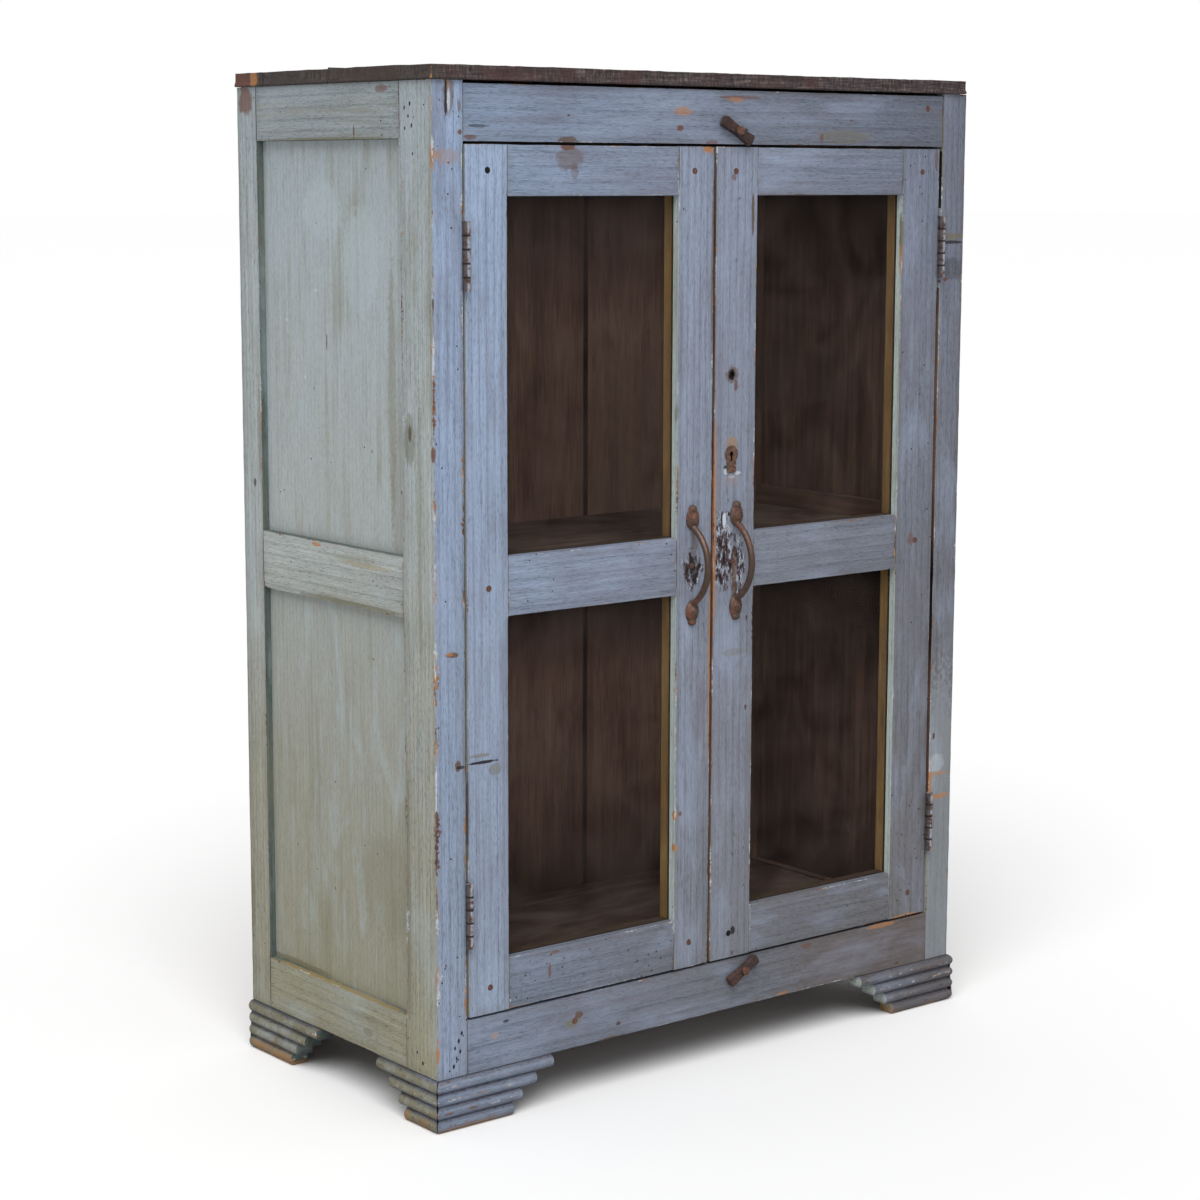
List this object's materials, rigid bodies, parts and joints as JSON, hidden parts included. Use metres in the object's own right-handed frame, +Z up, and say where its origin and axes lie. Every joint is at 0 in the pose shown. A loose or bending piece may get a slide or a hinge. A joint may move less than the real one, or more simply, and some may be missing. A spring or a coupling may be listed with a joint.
{
  "type": "glazed cupboard",
  "caption": "Tall glazed double-door wooden cupboard with an inner shelf, bow pulls, turn buttons, a door lock and reeded bracket feet.",
  "frame": {"origin": "on the floor, under the middle of the whole object's box", "axes": "+Z up, +X to the right seen from the front, +Y from the doors to the back boards"},
  "size_m": [0.822, 0.427, 1.177],
  "materials": {
    "painted_teak": "old matt blue-grey oil paint, chalked and chipped to the wood on the edges",
    "weathered_top_wood": "bare, weathered, saw-marked and dirty",
    "bare_inner_wood": "unpainted, darkened with age",
    "bead_wood": "unpainted, golden brown",
    "peg_wood": "end grain, dark brown",
    "window_glass": "old sheet glass, dusty and wiped",
    "rusty_iron": "forged, rusted brown, rubbed bright where hands touch",
    "painted_over_iron": "rusty, with old paint over it"
  },
  "bodies": {
    "case": {"front_left_post": "painted_teak", "front_right_post": "painted_teak", "rear_left_post": "painted_teak", "rear_right_post": "painted_teak", "front_top_rail": "painted_teak", "front_bottom_rail": "painted_teak", "rear_top_rail": "bare_inner_wood", "rear_bottom_rail": "bare_inner_wood", "left_top_rail": "painted_teak", "left_mid_rail": "painted_teak", "left_bottom_rail": "painted_teak", "right_top_rail": "painted_teak", "right_mid_rail": "painted_teak", "right_bottom_rail": "painted_teak", "left_upper_panel": "painted_teak", "left_lower_panel": "painted_teak", "right_upper_panel": "painted_teak", "right_lower_panel": "painted_teak", "back_boards": "bare_inner_wood", "top_boards": "weathered_top_wood", "floor_board": "bare_inner_wood", "shelf": "bare_inner_wood", "cleats": "bare_inner_wood", "door_stop": "bare_inner_wood", "front_left_foot": "painted_teak", "front_right_foot": "painted_teak", "rear_left_foot": "painted_teak", "rear_right_foot": "painted_teak", "foot_blocks": "bare_inner_wood", "rail_plugs": "peg_wood", "post_hinge_leaves": "painted_over_iron", "hinge_pins": "painted_over_iron", "carcass_screws": "rusty_iron"},
    "left_door": {"left_hinge_stile": "painted_teak", "left_meeting_stile": "painted_teak", "left_door_top_rail": "painted_teak", "left_door_mid_rail": "painted_teak", "left_door_bottom_rail": "painted_teak", "left_door_glass": "window_glass", "left_door_beads": "bead_wood", "left_door_pegs": "peg_wood", "left_door_hinge_leaves": "painted_over_iron", "left_pull": "rusty_iron", "left_door_screws": "rusty_iron"},
    "right_door": {"right_hinge_stile": "painted_teak", "right_meeting_stile": "painted_teak", "right_door_top_rail": "painted_teak", "right_door_mid_rail": "painted_teak", "right_door_bottom_rail": "painted_teak", "right_door_glass": "window_glass", "right_door_beads": "bead_wood", "right_door_pegs": "peg_wood", "right_door_hinge_leaves": "painted_over_iron", "right_pull": "rusty_iron", "right_door_screws": "rusty_iron", "escutcheon": "rusty_iron", "lock_case": "rusty_iron"},
    "lock_bolt": {"lock_bolt": "rusty_iron"},
    "top_turn_button": {"top_turn_button": "rusty_iron"},
    "bottom_turn_button": {"bottom_turn_button": "rusty_iron"}
  },
  "joints": [
    {"name": "left_door_swing", "type": "hinge", "parent": "case", "child": "left_door", "pos_m": [-0.363, -0.1848, 0.609], "axis": [0, 0, -1], "range_deg": [0, 170]},
    {"name": "right_door_swing", "type": "hinge", "parent": "case", "child": "right_door", "pos_m": [0.362, -0.1848, 0.609], "axis": [0, 0, 1], "range_deg": [0, 170]},
    {"name": "lock_bolt_slide", "type": "slide", "parent": "right_door", "child": "lock_bolt", "axis": [-1, 0, 0], "range_m": [0, 0.012]},
    {"name": "top_button_turn", "type": "hinge", "parent": "case", "child": "top_turn_button", "pos_m": [0.0215, -0.1855, 1.111], "axis": [0, 1, 0], "continuous": true},
    {"name": "bottom_button_turn", "type": "hinge", "parent": "case", "child": "bottom_turn_button", "pos_m": [0.0445, -0.1855, 0.107], "axis": [0, 1, 0], "continuous": true}
  ]
}
